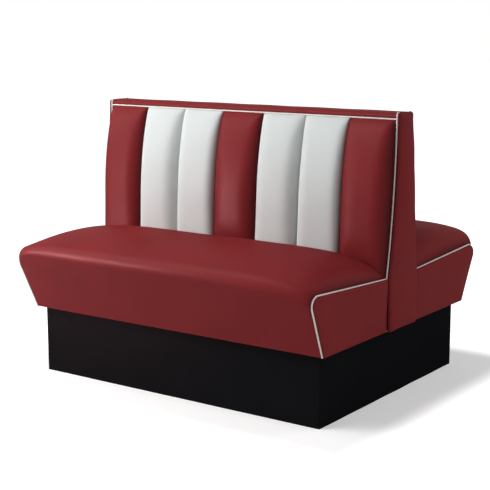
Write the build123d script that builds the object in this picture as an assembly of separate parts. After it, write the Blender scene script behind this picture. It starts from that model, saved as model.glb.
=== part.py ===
from build123d import *
import math
import os

os.makedirs("parts", exist_ok=True)

# A double-sided diner booth: two crowned seats back to back on one plinth, with a channelled backrest.
# Millimetres. X runs along the booth, the front seat faces -Y, and the plinth stands on Z = 0.
# "Reach" is the distance forward of the middle plane, so a point of the front half has Y = -reach.

# Overall sizes; the piping over the ends stands a little above the band
booth_width = 1218.0
booth_height = 945.0

# Fits between pieces
touching_gap = 0.3
seam_gap = 2.0
overrun = 5.0

# Plinth
plinth_height = 234.0
plinth_length = 1142.0
plinth_depth = 900.0
plinth_board = 16.0
plinth_skin = 1.5
corner_block = 45.0
block_lift = 10.0
cross_rail_width = 45.0
cross_rail_height = 70.0
cross_rail_place = 190.0

# Leatherette, wadding, piping and end panels
cover_thickness = 8.0
end_panel_thickness = 13.0
end_panel_rounding = 7.0
piping_radius = 2.5
piping_sink = 1.0

# Seat section at the ends
seat_overhang = 22.0
seat_rake = 24.1
seat_back_height = 411.0
nose_start_height = 392.0
nose_radius = 30.0

# What the crown adds in the middle of the seat
nose_start_rise = 45.0
nose_radius_growth = 10.0
nose_push = 14.0
back_rise = 69.0
dome_angle = 19.0
nose_flatness = 5.0
nose_fullness = 0.5
back_flatness = 8.0
back_fullness = 0.6
crown_stations = 8

# Seat box
deck_thickness = 15.0
deck_top = 385.0
seat_board = 15.0
seat_end_board = 18.0
base_board = 12.0

# Backrest outline, seen from the end
joint_reach = 98.0
foot_draw_in = 8.0
joint_height = 396.0
shoulder_reach = 48.0
band_height = 24.0
back_bow = 11.0
top_corner_radius = 16.0
band_thickness = 10.0

# Backrest frame
back_board_inset = 8.0
back_board_thickness = 6.0
back_frame_thickness = 18.0
back_rail_height = 45.0
middle_rail_height = 540.0

# Channels
channel_count = 7
channel_reach = 129.0
channel_full_height = 600.0
channel_top_reach = 49.0
channel_puff = 0.6
channel_corner_share = 0.52
channel_crown_angle = 10.0
channel_levels = 10

# Bolts
bolt_radius = 4.0
bolt_length = 60.0
bolt_head_width = 13.0
bolt_head_height = 5.5
washer_radius = 8.0
washer_thickness = 1.6
bolt_clearance = 0.5
thread_clearance = 0.1
seat_bolt_setback = 172.0
back_bolt_reach = 25.0

# Sizes that follow from those above
inner_half = booth_width / 2 - end_panel_thickness
seat_foot_reach = plinth_depth / 2 + seat_overhang
seat_bolt_reach = seat_foot_reach - seat_bolt_setback
back_foot_reach = joint_reach - foot_draw_in
shoulder_height = booth_height - band_height
core_inset = cover_thickness + touching_gap
piping_place = inner_half + touching_gap + piping_radius
panel_inset = piping_sink + piping_radius + touching_gap
frame_inset = back_board_inset + back_board_thickness + touching_gap
cushion_back = channel_reach + touching_gap
band_foot = shoulder_height + piping_radius + touching_gap
channel_top = shoulder_height - piping_radius - touching_gap
channel_foot = joint_height + touching_gap
channel_pitch = 2 * inner_half / channel_count
deck_bottom = deck_top - deck_thickness
base_top = plinth_height + base_board
block_centre_x = plinth_length / 2 - plinth_skin - plinth_board - corner_block / 2
block_centre_y = plinth_depth / 2 - plinth_skin - plinth_board - corner_block / 2
rake = math.radians(seat_rake)


def save(part, node):
    """Writes one node."""
    part.label = node
    export_step(part, os.path.join("parts", node + ".step"))


def turned(part):
    """The same piece on the rear half."""
    return Rot(0, 0, 180) * part


def block(x_low, x_high, y_low, y_high, z_low, z_high):
    """A square-edged board between two corners."""
    corner = (Align.MIN, Align.MIN, Align.MIN)
    return Pos(x_low, y_low, z_low) * Box(x_high - x_low, y_high - y_low, z_high - z_low, align=corner)


def slab(edges, x_low, x_high):
    """A piece of constant section along X, from the closed outline's edges."""
    return extrude(Plane.YZ.offset(x_low) * make_face(edges), amount=x_high - x_low)


def polygon(points):
    """Closed outline through (reach, height) points of the front half."""
    return Polyline(*[(-reach, height) for reach, height in points], close=True)


def arc(points):
    """Arc through three (reach, height) points of the front half."""
    return ThreePointArc(*[(-reach, height) for reach, height in points])


def line(points):
    """Straight run between two (reach, height) points of the front half."""
    return Line(*[(-reach, height) for reach, height in points])


def crown_fills(share):
    """How full the crown is at the nose and at the back, at a share of the half width off the middle."""
    nose = (1 - share ** nose_flatness) ** nose_fullness
    back = (1 - share ** back_flatness) ** back_fullness
    return nose, back


def on_circle(centre, radius, angle):
    """Point of a circle in the (reach, height) plane."""
    return (centre[0] + radius * math.cos(angle), centre[1] + radius * math.sin(angle))


def seat_points(fills, inset):
    """Points of the seat's section: foot, nose arc (3), top arc (3) and the lower back corner."""
    fill, back_fill = fills
    start_height = nose_start_height + nose_start_rise * fill
    start_reach = seat_foot_reach + (start_height - plinth_height) * math.tan(rake) + nose_push * fill
    radius = nose_radius + nose_radius_growth * fill
    centre = (start_reach - radius * math.cos(rake), start_height + radius * math.sin(rake))
    back = (joint_reach, seat_back_height + back_rise * back_fill)
    run = (back[0] - centre[0], back[1] - centre[1])
    tangent_angle = math.atan2(run[1], run[0]) - math.acos(radius / math.hypot(*run))
    last = tangent_angle - math.radians(dome_angle) * fill
    nose = [on_circle(centre, radius - inset, angle) for angle in (-rake, (last - rake) / 2, last)]
    full_end = on_circle(centre, radius, last)
    chord_angle = math.atan2(back[1] - full_end[1], back[0] - full_end[0])
    back_angle = 2 * chord_angle - last - math.pi / 2
    back = (back[0], back[1] + inset / math.cos(back_angle))
    end = nose[2]
    chord = (back[0] - end[0], back[1] - end[1])
    rise = math.tan((math.atan2(chord[1], chord[0]) - last - math.pi / 2) / 2) / 2
    top = ((end[0] + back[0]) / 2 + rise * chord[1], (end[1] + back[1]) / 2 - rise * chord[0])
    foot = (seat_foot_reach - inset / math.cos(rake), plinth_height)
    return foot, nose, (end, top, back), (back[0], plinth_height)


def seat_section(fills, inset):
    """Face of the seat's section in the YZ plane."""
    foot, nose, top, corner = seat_points(fills, inset)
    roof = arc(top) if fills[0] > 0 else line((top[0], top[2]))
    edges = [line((foot, nose[0])), arc(nose), roof, line((top[2], corner)), line((corner, foot))]
    return make_face(edges)


def seat_form(inset):
    """The crowned seat as one loft from end to end, drawn in all round by the inset."""
    sections = []
    for station in range(-crown_stations, crown_stations + 1):
        share = station / crown_stations
        face = seat_section(crown_fills(abs(share)), inset)
        sections.append(Plane.YZ.offset(share * inner_half) * face)
    return loft(sections)


def rake_reach(height, inset):
    """Reach of the raked front at a height."""
    return seat_foot_reach + (height - plinth_height) * math.tan(rake) - inset / math.cos(rake)


def seam_reach(height):
    """Reach of the back edge of a seat's boards and end panels, along the backrest's foot."""
    lean = (joint_reach - back_foot_reach) / (joint_height - plinth_height)
    return back_foot_reach + seam_gap + lean * (height - plinth_height)


def back_reach(height):
    """Reach of the backrest's bowed edge above the joint."""
    chord_reach = joint_reach - shoulder_reach
    chord_height = shoulder_height - joint_height
    chord = math.hypot(chord_reach, chord_height)
    radius = (chord ** 2 / 4 + back_bow ** 2) / (2 * back_bow)
    away = radius - back_bow
    middle_reach = (joint_reach + shoulder_reach) / 2
    middle_height = (joint_height + shoulder_height) / 2
    centre_reach = middle_reach + away * chord_height / chord
    centre_height = middle_height + away * chord_reach / chord
    return centre_reach - math.sqrt(radius ** 2 - (height - centre_height) ** 2)


def bow_points(inset):
    """Three points of the backrest's bowed edge, drawn in by the inset."""
    middle = (joint_height + shoulder_height) / 2
    heights = (joint_height, middle, shoulder_height)
    return [(back_reach(height) - inset, height) for height in heights]


def mirrored(points):
    """The same points on the rear half, in the opposite order."""
    return [(-reach, height) for reach, height in reversed(points)]


def corner_points(side_inset, top_inset):
    """Three points of the rounded top edge."""
    radius = top_corner_radius - top_inset
    centre = (shoulder_reach - side_inset - radius, booth_height - top_inset - radius)
    return [on_circle(centre, radius, angle) for angle in (0, math.pi / 4, math.pi / 2)]


def back_edges(side_inset, top_inset):
    """Edges of the backrest's outline above the joint, from the front round the top to the rear."""
    bow = bow_points(side_inset)
    top = corner_points(side_inset, top_inset)
    rear_bow = mirrored(bow)
    rear_top = mirrored(top)
    return [arc(bow), line((bow[2], top[0])), arc(top), line((top[2], rear_top[0])), arc(rear_top),
            line((rear_top[2], rear_bow[0])), arc(rear_bow)]


def tube(path):
    """Piping along a path in the YZ plane of the piping."""
    section = Plane(origin=path @ 0, z_dir=path % 0) * Circle(piping_radius)
    return sweep(section, path=path)


def rounded_panel(panel, side):
    """Softens the outer edges of a padded end panel."""
    outer = panel.faces().sort_by(Axis.X)[-1 if side > 0 else 0]
    return fillet(outer.edges(), radius=end_panel_rounding)


def end_span(side, low, high):
    """X range at one end of the booth, from two distances off the middle."""
    return (low, high) if side > 0 else (-high, -low)


def plinth_board_long():
    outer = plinth_depth / 2 - plinth_skin
    half = plinth_length / 2 - plinth_skin
    return block(-half, half, -outer, -outer + plinth_board, 0, plinth_height)


def plinth_board_short():
    outer = plinth_length / 2 - plinth_skin
    half = plinth_depth / 2 - plinth_skin - plinth_board
    return block(outer - plinth_board, outer, -half, half, 0, plinth_height)


def plinth_cover_long():
    half = plinth_length / 2
    outer = plinth_depth / 2
    return block(-half, half, -outer, -outer + plinth_skin, 0, plinth_height)


def plinth_cover_short():
    outer = plinth_length / 2
    half = plinth_depth / 2 - plinth_skin
    return block(outer - plinth_skin, outer, -half, half, 0, plinth_height)


def bolt_hole(x, y, z_low, z_high, clearance):
    """Drill that goes through a board and a little past it."""
    height = z_high - z_low + 2 * overrun
    drill = Cylinder(bolt_radius + clearance, height, align=(Align.CENTER, Align.CENTER, Align.MIN))
    return Pos(x, y, z_low - overrun) * drill


def seat_bolt_places():
    """Where the bolts of the front seat go down into the plinth."""
    corners = [(side * block_centre_x, -block_centre_y) for side in (-1, 1)]
    rails = [(side * cross_rail_place, -seat_bolt_reach) for side in (-1, 1)]
    return corners + rails


def back_bolt_places():
    """Where the bolts of the backrest go down into the cross rails."""
    return [(side * cross_rail_place, row * back_bolt_reach) for side in (-1, 1) for row in (-1, 1)]


def corner_blocks():
    blocks = []
    for side in (-1, 1):
        for row in (-1, 1):
            x = side * block_centre_x
            y = row * block_centre_y
            half = corner_block / 2
            post = block(x - half, x + half, y - half, y + half, block_lift, plinth_height)
            blocks.append(post - bolt_hole(x, y, block_lift, plinth_height, thread_clearance))
    return Compound(children=blocks)


def cross_rails():
    rails = []
    half = plinth_depth / 2 - plinth_skin - plinth_board
    low = plinth_height - cross_rail_height
    for side in (-1, 1):
        x = side * cross_rail_place
        rail = block(x - cross_rail_width / 2, x + cross_rail_width / 2, -half, half, low, plinth_height)
        holes = [(x, row * reach) for row in (-1, 1) for reach in (seat_bolt_reach, back_bolt_reach)]
        for hole_x, hole_y in holes:
            rail -= bolt_hole(hole_x, hole_y, low, plinth_height, thread_clearance)
        rails.append(rail)
    return Compound(children=rails)


def everything_behind(reach, z_low):
    """Cutter that takes away all that lies behind a reach of the front half and above a height."""
    return block(-booth_width, booth_width, -reach, plinth_depth, z_low, booth_height)


def seat_cover():
    """Leatherette on wadding: up the raked front, round the nose, over the crown and down at the back."""
    inside = seat_form(cover_thickness) - everything_behind(cushion_back + cover_thickness, deck_top)
    return seat_form(0) - everything_behind(cushion_back, 0) - inside


def seat_foam():
    """Crowned foam block on the deck."""
    back = cushion_back + cover_thickness + touching_gap
    below = block(-booth_width, booth_width, -plinth_depth, plinth_depth, 0, deck_top + touching_gap)
    return seat_form(core_inset) - everything_behind(back, 0) - below


def seat_deck():
    points = [(seam_reach(deck_bottom), deck_bottom), (rake_reach(deck_bottom, core_inset), deck_bottom),
              (rake_reach(deck_top, core_inset), deck_top), (seam_reach(deck_top), deck_top)]
    return slab(polygon(points), -inner_half, inner_half)


def seat_base_board():
    points = [(seam_reach(plinth_height), plinth_height),
              (rake_reach(plinth_height, core_inset), plinth_height),
              (rake_reach(base_top, core_inset), base_top),
              (seam_reach(base_top), base_top)]
    board = slab(polygon(points), -inner_half, inner_half)
    for x, y in seat_bolt_places():
        board -= bolt_hole(x, y, plinth_height, base_top, bolt_clearance)
    return board


def seat_front_board():
    deep = core_inset + seat_board
    points = [(rake_reach(base_top, deep), base_top),
              (rake_reach(base_top, core_inset), base_top),
              (rake_reach(deck_bottom, core_inset), deck_bottom),
              (rake_reach(deck_bottom, deep), deck_bottom)]
    return slab(polygon(points), -inner_half, inner_half)


def seat_back_board():
    points = [(seam_reach(base_top), base_top), (seam_reach(base_top) + seat_board, base_top),
              (seam_reach(deck_bottom) + seat_board, deck_bottom), (seam_reach(deck_bottom), deck_bottom)]
    return slab(polygon(points), -inner_half, inner_half)


def seat_end_boards():
    deep = core_inset + seat_board
    points = [(seam_reach(base_top) + seat_board, base_top),
              (rake_reach(base_top, deep), base_top),
              (rake_reach(deck_bottom, deep), deck_bottom),
              (seam_reach(deck_bottom) + seat_board, deck_bottom)]
    boards = []
    for side in (-1, 1):
        x_low, x_high = end_span(side, inner_half - seat_end_board, inner_half)
        boards.append(slab(polygon(points), x_low, x_high))
    return Compound(children=boards)


def seat_end_panel(side):
    """Padded gusset at one end of the front seat."""
    foot, nose, top, corner = seat_points((0, 0), panel_inset)
    back_top = (seam_reach(top[2][1]), top[2][1])
    back_foot = (seam_reach(plinth_height), plinth_height)
    edges = [line((foot, nose[0])), arc(nose), line((nose[2], back_top)), line((back_top, back_foot)),
             line((back_foot, foot))]
    x_low, x_high = end_span(side, inner_half, booth_width / 2)
    return rounded_panel(slab(edges, x_low, x_high), side)


def seat_piping(side):
    """Piping up the raked front, round the nose and back along the top of an end panel."""
    foot, nose, top, corner = seat_points((0, 0), piping_sink)
    back_top = (seam_reach(top[2][1]), top[2][1])
    path = Wire([line((foot, nose[0])), arc(nose), line((nose[2], back_top))])
    return tube(Plane.YZ.offset(side * piping_place) * path)


def back_end_panel(side):
    """Padded wedge that closes one end of the backrest, down to the plinth."""
    bow = bow_points(panel_inset)
    foot = (back_foot_reach - panel_inset, plinth_height)
    rear_foot = (-foot[0], plinth_height)
    edges = [line((foot, bow[0]))] + back_edges(panel_inset, panel_inset)
    edges += [line((mirrored(bow)[2], rear_foot)), line((rear_foot, foot))]
    x_low, x_high = end_span(side, inner_half, booth_width / 2)
    return rounded_panel(slab(edges, x_low, x_high), side)


def back_piping(side):
    """Piping up the front edge of the backrest's end, over the top and down the rear edge."""
    path = Wire(back_edges(piping_sink, piping_sink))
    return tube(Plane.YZ.offset(side * piping_place) * path)


def band_piping():
    """Straight piping at the foot of the top band, on the front face."""
    reach = shoulder_reach - piping_sink
    path = Wire([Line((-inner_half, -reach, shoulder_height), (inner_half, -reach, shoulder_height))])
    return tube(path)


def top_band():
    """Padded band that rolls over the top of the backrest."""
    def shell(inset):
        top = corner_points(inset, inset)
        rear = mirrored(top)
        foot = (shoulder_reach - inset, band_foot)
        rear_foot = (-foot[0], band_foot)
        edges = [line((foot, top[0])), arc(top), line((top[2], rear[0])), arc(rear),
                 line((rear[2], rear_foot)), line((rear_foot, foot))]
        return slab(edges, -inner_half, inner_half)
    return shell(0) - shell(band_thickness)


def back_board():
    """Bent plywood under the front channels."""
    outer = bow_points(back_board_inset)
    inner = bow_points(back_board_inset + back_board_thickness)
    outer_foot = (back_foot_reach - back_board_inset, plinth_height)
    inner_foot = (outer_foot[0] - back_board_thickness, plinth_height)
    edges = [line((outer_foot, outer[0])), arc(outer), line((outer[2], inner[2])),
             arc(list(reversed(inner))), line((inner[0], inner_foot)), line((inner_foot, outer_foot))]
    return slab(edges, -inner_half, inner_half)


def back_frames():
    """Three plywood wedges that give the backrest its section."""
    bow = bow_points(frame_inset)
    foot = (back_foot_reach - frame_inset, plinth_height)
    top = (shoulder_reach - frame_inset, booth_height - band_thickness - touching_gap)
    rear_bow = mirrored(bow)
    rear_top = (-top[0], top[1])
    rear_foot = (-foot[0], foot[1])
    edges = [line((foot, bow[0])), arc(bow), line((bow[2], top)), line((top, rear_top)),
             line((rear_top, rear_bow[0])), arc(rear_bow), line((rear_bow[2], rear_foot)),
             line((rear_foot, foot))]
    frames = []
    for place in (-1, 0, 1):
        middle = place * (inner_half - back_frame_thickness / 2)
        low = middle - back_frame_thickness / 2
        frames.append(slab(edges, low, low + back_frame_thickness))
    return Compound(children=frames)


def back_rails():
    """Rails between the wedges: at the foot, halfway up and at the top."""
    top_rail = booth_height - band_thickness - touching_gap - back_rail_height
    rails = []
    for side in (-1, 1):
        x_low, x_high = end_span(side, back_frame_thickness / 2, inner_half - back_frame_thickness)
        for low in (plinth_height, middle_rail_height, top_rail):
            high = low + back_rail_height
            narrow = min(back_foot_reach, back_reach(min(high, shoulder_height))) - frame_inset
            rail = block(x_low, x_high, -narrow, narrow, low, high)
            if low == plinth_height:
                for x, y in back_bolt_places():
                    rail -= bolt_hole(x, y, low, high, bolt_clearance)
            rails.append(rail)
    return Compound(children=rails)


def channel_section(height):
    """Plan section of a channel: flat back, straight sides, rounded corners and a gently crowned front."""
    share = max(0.0, (height - channel_full_height) / (channel_top - channel_full_height))
    front = channel_top_reach + (channel_reach - channel_top_reach) * (1 - share ** 2) ** channel_puff
    back = back_reach(height) - back_board_inset + touching_gap
    half = channel_pitch / 2 - touching_gap / 2
    radius = channel_corner_share * (front - back)
    full_thickness = channel_reach - back_reach(channel_full_height) + back_board_inset
    tilt = math.radians(channel_crown_angle) * (front - back) / full_thickness
    sweep_angle = math.pi / 2 - tilt
    half_chord = half - radius * (1 - math.cos(sweep_angle))
    shoulder = front - radius * math.sin(sweep_angle) - half_chord * math.tan(tilt / 2)

    def corner(angle):
        return (half - radius * (1 - math.cos(angle)), -shoulder - radius * math.sin(angle))

    right = [corner(angle) for angle in (0, sweep_angle / 2, sweep_angle)]
    left = [(-x, y) for x, y in reversed(right)]
    crown = ThreePointArc(right[2], (0, -front), left[0])
    edges = [Line((-half, -back), (half, -back)), Line((half, -back), right[0]), ThreePointArc(*right),
             crown, ThreePointArc(*left), Line(left[2], (-half, -back))]
    return Plane.XY.offset(height) * make_face(edges)


def channel():
    """One padded flute, which swells below the band and runs down behind the seat cushion."""
    step = (channel_top - channel_foot) / channel_levels
    return loft([channel_section(channel_foot + level * step) for level in range(channel_levels + 1)])


def bolt(x, y, seat_height):
    """Hexagon bolt with its washer, tightened down on a board."""
    low = (Align.CENTER, Align.CENTER, Align.MIN)
    shank = Pos(0, 0, -bolt_length) * Cylinder(bolt_radius, bolt_length, align=low)
    washer = Cylinder(washer_radius, washer_thickness, align=low)
    head_outline = RegularPolygon(bolt_head_width / 2, 6, major_radius=False)
    head = Pos(0, 0, washer_thickness) * extrude(head_outline, amount=bolt_head_height)
    return Pos(x, y, seat_height) * (shank + washer + head)


def fixing_bolts():
    bolts = []
    for x, y in seat_bolt_places():
        bolts.append(bolt(x, y, base_top))
        bolts.append(bolt(-x, -y, base_top))
    for x, y in back_bolt_places():
        bolts.append(bolt(x, y, plinth_height + back_rail_height))
    return Compound(children=bolts)


def build_plinth():
    long_board = plinth_board_long()
    short_board = plinth_board_short()
    long_cover = plinth_cover_long()
    short_cover = plinth_cover_short()
    save(long_board, "plinth_front_board")
    save(turned(long_board), "plinth_rear_board")
    save(short_board, "plinth_right_board")
    save(turned(short_board), "plinth_left_board")
    save(long_cover, "plinth_front_cover")
    save(turned(long_cover), "plinth_rear_cover")
    save(short_cover, "plinth_right_cover")
    save(turned(short_cover), "plinth_left_cover")
    save(corner_blocks(), "plinth_corner_blocks")
    save(cross_rails(), "plinth_cross_rails")


def build_seats():
    pieces = {
        "seat_cover": seat_cover(),
        "seat_foam": seat_foam(),
        "seat_deck": seat_deck(),
        "seat_base_board": seat_base_board(),
        "seat_front_board": seat_front_board(),
        "seat_back_board": seat_back_board(),
        "seat_end_boards": seat_end_boards(),
    }
    for name, piece in pieces.items():
        save(piece, "front_" + name)
        save(turned(piece), "rear_" + name)
    for side, name in ((-1, "left"), (1, "right")):
        opposite = "right" if name == "left" else "left"
        panel = seat_end_panel(side)
        piping = seat_piping(side)
        save(panel, "front_seat_end_panel_" + name)
        save(turned(panel), "rear_seat_end_panel_" + opposite)
        save(piping, "front_seat_piping_" + name)
        save(turned(piping), "rear_seat_piping_" + opposite)


def build_backrest():
    save(back_frames(), "back_frames")
    save(back_rails(), "back_rails")
    save(top_band(), "top_band")
    board = back_board()
    piping = band_piping()
    save(board, "back_board_front")
    save(turned(board), "back_board_rear")
    save(piping, "band_piping_front")
    save(turned(piping), "band_piping_rear")
    for side, name in ((-1, "left"), (1, "right")):
        save(back_end_panel(side), "back_end_panel_" + name)
        save(back_piping(side), "back_piping_" + name)
    flute = channel()
    for number in range(1, channel_count + 1):
        place = (number - (channel_count + 1) / 2) * channel_pitch
        piece = Pos(place, 0, 0) * flute
        save(piece, f"front_channel_{number}")
        save(turned(piece), f"rear_channel_{channel_count + 1 - number}")


build_plinth()
build_seats()
build_backrest()
save(fixing_bolts(), "fixing_bolts")
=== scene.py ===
"""Dresses the diner booth: padded seats, channels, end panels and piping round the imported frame."""

import math

import bmesh
import bpy
import numpy as np
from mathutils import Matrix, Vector


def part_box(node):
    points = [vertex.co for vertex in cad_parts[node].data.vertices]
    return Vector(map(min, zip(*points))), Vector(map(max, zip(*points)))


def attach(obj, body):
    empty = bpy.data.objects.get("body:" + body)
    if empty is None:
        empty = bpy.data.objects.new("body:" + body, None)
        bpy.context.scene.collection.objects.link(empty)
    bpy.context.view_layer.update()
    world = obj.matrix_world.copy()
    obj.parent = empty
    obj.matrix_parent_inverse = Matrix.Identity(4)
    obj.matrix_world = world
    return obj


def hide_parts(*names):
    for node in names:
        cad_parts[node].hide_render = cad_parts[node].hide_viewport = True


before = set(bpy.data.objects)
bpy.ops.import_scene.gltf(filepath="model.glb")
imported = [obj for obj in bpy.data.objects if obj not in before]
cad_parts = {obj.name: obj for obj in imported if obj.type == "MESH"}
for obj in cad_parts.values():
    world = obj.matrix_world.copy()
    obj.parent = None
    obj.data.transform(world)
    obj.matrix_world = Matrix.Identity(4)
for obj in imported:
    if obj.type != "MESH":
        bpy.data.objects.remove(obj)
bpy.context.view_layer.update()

LOW, HIGH = 0, 1
X, Y, Z = 0, 1, 2


def edge_of(part_name, end, axis):
    """Where a part of the frame ends along an axis, in metres, to a tenth of a millimetre."""
    return round(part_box(part_name)[end][axis], 4)


# Sizes in metres that the frame gives. A reach is a distance from the booth's middle plane.
HALF = edge_of("front_seat_cover", HIGH, X)
PLINTH_HALF_X = edge_of("plinth_front_cover", HIGH, X)
PLINTH_HALF_Y = edge_of("plinth_rear_cover", HIGH, Y)
PLINTH_TOP = edge_of("plinth_front_cover", HIGH, Z)
FOAM_FOOT = edge_of("front_seat_foam", LOW, Z)
CHANNEL_FOOT = edge_of("front_channel_1", LOW, Z)
CHANNEL_TOP = edge_of("front_channel_1", HIGH, Z)
BACK_FOOT_REACH = edge_of("back_board_rear", HIGH, Y)
SHOULDER_REACH = edge_of("top_band", HIGH, Y)
SHOULDER_HEIGHT = edge_of("back_board_rear", HIGH, Z)
BAND_FOOT = edge_of("top_band", LOW, Z)
CHANNELS = 7
MIDDLE_CHANNEL = 4
RED_CHANNELS = (1, 4, 7)
PITCH = 2 * HALF / CHANNELS

# The seat's section at its ends: raked front, nose circle, and roof back to the joint with the backrest.
FOOT_REACH = 0.472
RAKE = math.radians(24.1)
NOSE_START = 0.392
NOSE_RADIUS = 0.030
SEAT_BACK = 0.411
COVER_INSET = 0.0083

# What the crown adds to that section towards the middle.
NOSE_RISE = 0.045
NOSE_GROWTH = 0.010
NOSE_PUSH = 0.014
BACK_RISE = 0.069
DOME = math.radians(19)

# Powers of the crown along the booth. With a higher crown it stays full nearer to the ends,
# and with a lower curve it drops there more suddenly.
FRONT_CROWN = 5
REAR_CROWN = 12
BACK_CROWN = 8
CROWN_CURVE = 0.5
BACK_CURVE = 0.6

# At the front seat's left shoulder the nose starts higher and is sharper.
PINCH_RISE = 0.016
PINCH_SHARPENING = 0.011

# The seat's foot is drawn in at both ends by this share of its length.
FOOT_DRAW = 0.0115

# The backrest's section: joint with the seat, bowed edge, rounded top, and the seam along its foot.
JOINT_REACH = 0.098
JOINT_HEIGHT = 0.396
BOW = 0.011
TOP = 0.942
END_RADIUS = 0.010
SEAM = 0.002

# The channels: full up to a height, then leaning back to their top. Their backs are sunk in the bowed edge.
CHANNEL_REACH = 0.129
CHANNEL_TOP_REACH = 0.049
CHANNEL_FULL = 0.600
TOP_CURVE = 0.6
CHANNEL_SINK = 0.0077
CHANNEL_GAP = 0.00015

# The seats hug the channels as they are at this height, a gap away, and into the grooves between them.
HUG_HEIGHT = 0.47
HUG_GAP = 0.0006
GROOVE_SINK = 0.004

# Powers of a channel's curve, on both flanks and on the outer flanks at the booth's ends.
# With a higher one the flank is squarer.
FLUTE_SQUARE = 4.2
FLUTE_CURVE = 0.46
FRONT_FLANK = 5.4
REAR_FLANK = 9

# The seams where a white channel meets the red one on its right, in pitches from the booth's middle.
# Their bottom is up by a share of the thickness, and their left flank is squarer than their right one.
SHALLOW_SEAMS = (-0.5, 2.5)
SHALLOW_SHARE = 0.42
LEFT_SQUARE = 7.0
RIGHT_SQUARE = 3.0

# Pulls along the seams of the seat, the channels and the band: their pitch, how far and how fast it wanders.
SEAT_PULLS = (0.047, 1.3, 31)
CHANNEL_PULLS = (0.031, 1.7, 23)
BAND_PULLS = (0.023, 1.4, 37)

# Slow unevenness of the padding: waves per metre, seed of the random draws, and depth.
# A channel's number is added to the channels' seed.
COVER_UNEVEN = (4.2, 11, 0.0009)
CHANNEL_UNEVEN = (5.0, 40, 0.0006)
PANEL_UNEVEN = (6.0, 7, 0.0005)
SLEEVE_UNEVEN = (5.5, 3, 0.0005)

# The end panels: how far they are drawn in from the outline, and the ends of their spines as (reach, height).
SEAT_PANEL_INSET = 0.0038
BACK_PANEL_INSET = 0.0008
SEAT_SPINE = ((0.18, 0.322), (0.42, 0.322))
BACK_SPINE = ((0, 0.29), (0, 0.905))
SEAT_PADDING = {"thickness": 0.0135, "bulge": 0.0040, "rounding": 0.0055}
BACK_PADDING = {"thickness": 0.0150, "bulge": 0.0035, "rounding": 0.0086, "neck": (0.0095, 0.0062)}

# The piping: radius, place of its middle along the booth, and how far it is sunk in the seam.
PIPING = 0.0027
PIPING_PLACE = 0.5988
PIPING_SINK = 0.001

# The slight ripple of its strip: depth as a share of the radius, rate along the piping, and phase.
PIPING_RIPPLES = ((0.02, 900, 0), (0.015, 331, 1))

# The plinth's covering: thickness, corner radius, and two slanting creases at the left end of its front.
# A crease has its start and end from the plinth's left end, its height at both, and its depth.
SLEEVE = 0.0015
SLEEVE_RADIUS = 0.0035
CREASES = ((0.055, 0.16, 0.222, 0.150, 0.0008), (0.02, 0.10, 0.205, 0.120, 0.0006))
CREASE_WIDTH = 0.011

# How far the shade of a seam reaches from the grooves, the seats' ends, the panels' edges and the band's.
GROOVE_SHADE = 0.006
END_SHADE = 0.004
PANEL_SHADE = 0.0042
BAND_SHADE = 0.003

# How many points each stretch of the seat's section has.
SECTION = {"front": 26, "nose": 22, "roof": 54, "rear": 5, "under": 5, "inside": 4}
SEAT_STATIONS = 181
CHANNEL_POINTS = 49
CHANNEL_LEVELS = 120
BAND_STATIONS = 150
SLEEVE_LEVELS = 60
EDGE_RINGS = 8
SWELL_RINGS = 18
PIPING_SIDES = 14

# Steps of the outlines and of the piping's path.
SEAT_PANEL_STEP = 0.012
BACK_PANEL_STEP = 0.014
SLEEVE_STEP = 0.010
PIPING_STEP = 0.004

# Where the leatherette is worn, and where painted shade darkens it, by how far it bends out or in.
# Painted shade in hollows and along seams is this share as bright as the deeper colour.
RIDGES = (0.52, 0.62)
HOLLOWS = (0.40, 0.49)
HOLLOW_SHADE_TONE = 0.45
SEAM_SHADED = 0.12

# The floor's fade to white, from one distance round the plinth to another, and how bright it is there.
# Near the plinth the floor glows less, so the lamps' shadow shows only there: the fade paints the shadow's
# outer edge.
FLOOR_HALF = 30
FLOOR_GREY = (0.85, 0.85, 0.85, 1)
WHITE = (1, 1, 1, 1)
FLOOR_LIFT = 0.35
MIRRORED_LIFT = 0.25
FADE_START = 0.13
FADE_END = 0.27

# Strength of the world as it lights the booth, and as it shows behind it.
WORLD_LIGHT = 0.17
WORLD_SEEN = 1.0

# The camera, as solved from the photograph.
AZIMUTH = math.radians(35.3)
ELEVATION = math.radians(10.41)
DISTANCE = 4.31581
TARGET_ACROSS = -0.02066
TARGET_UP = 0.44528
FOCAL_PIXELS = 1215.09
IMAGE_PIXELS = 490
SENSOR = 36.0


# Meshes

def uneven(points, scale, seed, depth, waves=9):
    """Smooth pseudo-random heights over points, up to about a depth either way, from a few seeded waves."""
    rng = np.random.default_rng(seed)
    total = np.zeros(points.shape[:-1])
    for _ in range(waves):
        direction = rng.normal(size=3)
        direction *= scale * rng.uniform(0.6, 1.6) / np.linalg.norm(direction)
        total += np.sin(points @ direction * 2 * math.pi + rng.uniform(0, 2 * math.pi))
    return total / waves ** 0.5 / 1.2 * depth


def pulls(along, pitch, wander, rate, phase=0.0):
    """Pulls along a seam, from -1 to 1, at a pitch that wanders."""
    return np.sin(along * 2 * math.pi / pitch + phase + wander * np.sin(along * rate + phase))


def add_mesh(name, points, faces, material):
    """A smooth mesh object at the origin with outward normals."""
    mesh = bpy.data.meshes.new(name)
    mesh.from_pydata([tuple(p) for p in points], [], faces)
    cleaner = bmesh.new()
    cleaner.from_mesh(mesh)
    bmesh.ops.remove_doubles(cleaner, verts=cleaner.verts, dist=2e-6)
    bmesh.ops.dissolve_degenerate(cleaner, dist=1e-7, edges=cleaner.edges)
    bmesh.ops.recalc_face_normals(cleaner, faces=cleaner.faces)
    cleaner.to_mesh(mesh)
    cleaner.free()
    mesh.shade_smooth()
    piece = bpy.data.objects.new(name, mesh)
    bpy.context.scene.collection.objects.link(piece)
    mesh.materials.append(material)
    return piece


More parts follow.
